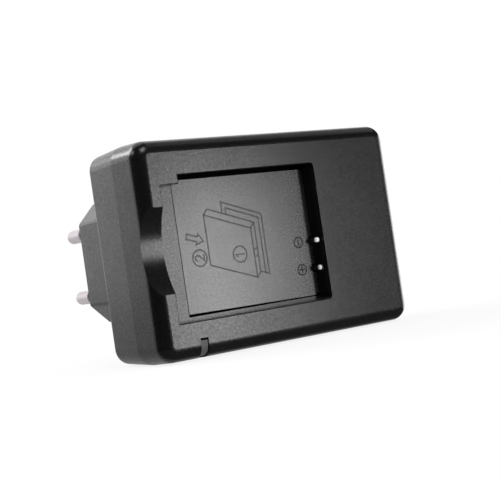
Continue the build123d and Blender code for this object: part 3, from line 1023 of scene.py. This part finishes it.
PIN_NODES = ("plug_pin_live", "plug_pin_neutral")


def direction(azimuth: float, elevation: float) -> Vector:
    """Direction from the object: azimuth in degrees from the front towards +X, elevation up."""
    turn, rise = radians(azimuth), radians(elevation)
    return Vector((sin(turn) * cos(rise), -cos(turn) * cos(rise), sin(rise)))


@dataclass(frozen=True)
class Softbox:
    """Flat soft lamp that faces the charger, with a cutter that shades the nodes named in it.

    The lamp hangs at an azimuth and an elevation in degrees, and its size is its width and height.
    """

    name: str
    at: Span
    size: Span
    radiance: float
    distance: float = 0.9
    shaded: tuple[str, ...] = ()

    def build(self, target: Vector) -> None:
        """Adds the lamp.

        Args:
            target: Point that the lamp faces.
        """
        width, height = self.size
        lamp = bpy.data.lights.new(self.name, "AREA")
        lamp.shape = "RECTANGLE"
        lamp.size = width
        lamp.size_y = height
        lamp.energy = self.radiance * pi * width * height
        holder = bpy.data.objects.new(self.name, lamp)
        away = direction(*self.at)
        holder.location = target + away * self.distance
        holder.rotation_euler = away.to_track_quat("Z", "Y").to_euler()
        bpy.context.scene.collection.objects.link(holder)
        if self.shaded:
            self.cut(holder)

    def cut(self, holder: bpy.types.Object) -> None:
        """Keeps the lamp off its shaded nodes.

        Args:
            holder: Object of the lamp.
        """
        cutter = bpy.data.collections.new(self.name + "_cutter")
        for node_name in self.shaded:
            cutter.objects.link(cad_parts[node_name])
        for entry in cutter.collection_objects:
            entry.light_linking.link_state = "EXCLUDE"
        holder.light_linking.receiver_collection = cutter


@dataclass(frozen=True)
class Flag:
    """Dark cloth round the charger, as a patch of a sphere that only reflections see.

    It spans azimuths and elevations in degrees, and lets its see-through share of the light pass.
    """

    name: str
    azimuth: Span
    elevation: Span
    see_through: float = 0.0
    radius: float = 1.6
    rows: int = 24
    columns: int = 36

    def cloth(self) -> bpy.types.Material:
        """Black cloth, woven more or less openly.

        Returns:
            The material.
        """
        material = bpy.data.materials.new(self.name)
        material.use_nodes = True
        tree = material.node_tree
        tree.nodes.clear()
        thread = add_node(tree, "ShaderNodeEmission", Color=(0.0, 0.0, 0.0, 1.0), Strength=0.0)
        gap = tree.nodes.new("ShaderNodeBsdfTransparent")
        weave = add_node(tree, "ShaderNodeMixShader", Fac=self.see_through)
        feed(tree, weave.inputs[1], thread.outputs[0])
        feed(tree, weave.inputs[2], gap.outputs[0])
        add_node(tree, "ShaderNodeOutputMaterial", Surface=weave.outputs[0])
        return material

    def build(self) -> None:
        """Hangs the cloth: each point is the radius times its direction."""
        rise = np.radians(np.linspace(*self.elevation, self.rows))[:, None]
        turn = np.radians(np.linspace(*self.azimuth, self.columns))[None, :]
        level = np.cos(rise)
        axes = np.broadcast_arrays(np.sin(turn) * level, -np.cos(turn) * level, np.sin(rise))
        places = self.radius * np.stack(axes, axis=2).reshape(-1, 3)
        row = np.arange(self.rows - 1)[:, None] * self.columns
        first = row + np.arange(self.columns - 1)[None, :]
        quads = np.stack([first, first + 1, first + self.columns + 1, first + self.columns], axis=2)
        flag = mesh_object(self.name, places, quads.reshape(-1, 4).tolist(), self.cloth())
        flag.visible_camera = False
        flag.visible_diffuse = False
        flag.visible_shadow = False
        flag.visible_transmission = False


@dataclass
class Studio:
    """White floor and surround, soft lamps, dark flags, and the camera."""

    floor_half: float = 4.0
    floor_colour: Colour = (0.9, 0.9, 0.9)
    floor_glow: float = 0.85
    shadow_near: float = 0.09
    shadow_far: float = 0.24
    surround_level: float = 0.6
    camera_place: Point = (-0.17328, -0.27528, 0.02237)
    camera_azimuth: float = 33.58
    camera_rise: float = 0.825
    camera_roll: float = 8.35
    camera_lens: float = 78.46
    camera_sensor: float = 36.0
    camera_near: float = 0.01
    softboxes: tuple[Softbox, ...] = (
        Softbox("key_softbox", at=(28.7, -2.4), size=(0.122, 0.31), radiance=9.7, distance=0.8),
        Softbox("corner_softbox", at=(-143.0, 37.0), size=(0.52, 0.40), radiance=6.2, shaded=PIN_NODES),
        Softbox("tip_softbox", at=(-99.0, 37.0), size=(0.30, 0.20), radiance=4.5, shaded=PIN_NODES),
        Softbox("back_softbox", at=(-149.0, 17.0), size=(0.50, 0.24), radiance=0.48),
        Softbox("wall_softbox", at=(62.0, 0.0), size=(0.75, 0.40), radiance=0.45),
        Softbox("right_softbox", at=(102.0, 0.0), size=(0.52, 0.45), radiance=2.5),
        Softbox("rim_softbox", at=(88.0, 52.0), size=(0.7, 0.45), radiance=0.42),
        Softbox("crown_softbox", at=(-3.0, 48.0), size=(0.4, 0.4), radiance=4.5),
    )
    flags: tuple[Flag, ...] = (
        Flag("front_flag", azimuth=(-122.0, 124.0), elevation=(-20.0, 90.0)),
        Flag("front_net", azimuth=(-122.0, 124.0), elevation=(-90.0, -20.0), see_through=0.09),
        Flag("side_net", azimuth=(124.0, 238.0), elevation=(-14.0, 0.0), see_through=0.48),
        Flag("low_net", azimuth=(124.0, 238.0), elevation=(-90.0, -14.0), see_through=0.45),
    )

    def background_mask(self, tree: bpy.types.NodeTree) -> bpy.types.NodeSocket:
        """Marks the rays that show the background: camera, glossy and transmitted ones.

        Args:
            tree: Node tree of the floor or the surround.

        Returns:
            Socket that is 1 for those rays and 0 for the others.
        """
        path = tree.nodes.new("ShaderNodeLightPath").outputs
        mirrored = math_node(tree, "MAXIMUM", path["Is Glossy Ray"], path["Is Transmission Ray"])
        return math_node(tree, "MAXIMUM", path["Is Camera Ray"], mirrored)

    def build_surround(self) -> None:
        """White world for the rays that see it, and an even soft light for the others."""
        world = bpy.data.worlds.new("surround")
        world.use_nodes = True
        bpy.context.scene.world = world
        tree = world.node_tree
        background = tree.nodes["Background"]
        level = spread(tree, self.background_mask(tree), self.surround_level, 1.0)
        feed(tree, background.inputs["Strength"], level)
        background.inputs["Color"].default_value = (1.0, 1.0, 1.0, 1.0)

    def floor_material(self) -> bpy.types.Material:
        """White floor that keeps a soft shadow near the charger and fades into the surround.

        Returns:
            The material.
        """
        material = bpy.data.materials.new("floor_white")
        material.use_nodes = True
        tree = material.node_tree
        tree.nodes.clear()
        coordinates = tree.nodes.new("ShaderNodeTexCoord").outputs["Object"]
        reach = vector_node(tree, "DISTANCE", coordinates, (0.0, 0.0, 0.0))
        far = add_node(
            tree, "ShaderNodeMapRange", Value=reach, From_Min=self.shadow_near,
            From_Max=self.shadow_far, To_Min=self.floor_glow, To_Max=1.0,
        )
        far.interpolation_type = "SMOOTHSTEP"
        share = math_node(tree, "MULTIPLY", far.outputs[0], self.background_mask(tree))
        paint = add_node(tree, "ShaderNodeBsdfDiffuse", Color=(*self.floor_colour, 1.0))
        glow = add_node(tree, "ShaderNodeEmission", Color=(1.0, 1.0, 1.0, 1.0), Strength=1.0)
        blend = add_node(tree, "ShaderNodeMixShader", Fac=share)
        feed(tree, blend.inputs[1], paint.outputs[0])
        feed(tree, blend.inputs[2], glow.outputs[0])
        add_node(tree, "ShaderNodeOutputMaterial", Surface=blend.outputs[0])
        return material

    def build_floor(self) -> None:
        """Lays the floor under the charger."""
        half = self.floor_half
        corners = half * np.array([(-1, -1, 0), (1, -1, 0), (1, 1, 0), (-1, 1, 0)])
        floor = mesh_object("floor", corners, [[0, 1, 2, 3]], self.floor_material())
        floor.visible_glossy = False
        floor.visible_diffuse = False
        floor.visible_shadow = False

    def build_camera(self) -> None:
        """Sets the camera of the photograph: place, heading, rise and roll."""
        turn = radians(self.camera_azimuth)
        rise = radians(self.camera_rise)
        roll = radians(self.camera_roll)
        ahead = Vector((sin(turn) * cos(rise), cos(turn) * cos(rise), sin(rise)))
        level_right = ahead.cross(Vector((0.0, 0.0, 1.0))).normalized()
        level_up = level_right.cross(ahead)
        right = cos(roll) * level_right - sin(roll) * level_up
        up = sin(roll) * level_right + cos(roll) * level_up
        lens = bpy.data.cameras.new("photo_camera")
        lens.lens = self.camera_lens
        lens.sensor_width = self.camera_sensor
        lens.clip_start = self.camera_near
        camera = bpy.data.objects.new("photo_camera", lens)
        axes = Matrix((right, up, -ahead)).transposed().to_4x4()
        camera.matrix_world = Matrix.Translation(self.camera_place) @ axes
        bpy.context.scene.collection.objects.link(camera)
        bpy.context.scene.camera = camera

    def build(self) -> None:
        """Builds the whole studio."""
        low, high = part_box("front_cover")
        target = (low + high) / 2
        self.build_surround()
        self.build_floor()
        for flag in self.flags:
            flag.build()
        for softbox in self.softboxes:
            softbox.build(target)
        self.build_camera()
        bpy.context.scene.view_settings.view_transform = "Standard"


def main() -> None:
    """Dresses the charger, prints its signs and builds the studio round it."""
    effects = Effects()
    for assembly in (Housing(), Terminals(), Circuit(), PlateSigns()):
        assembly.dress(effects)
    Studio().build()


if __name__ == "__main__":
    main()
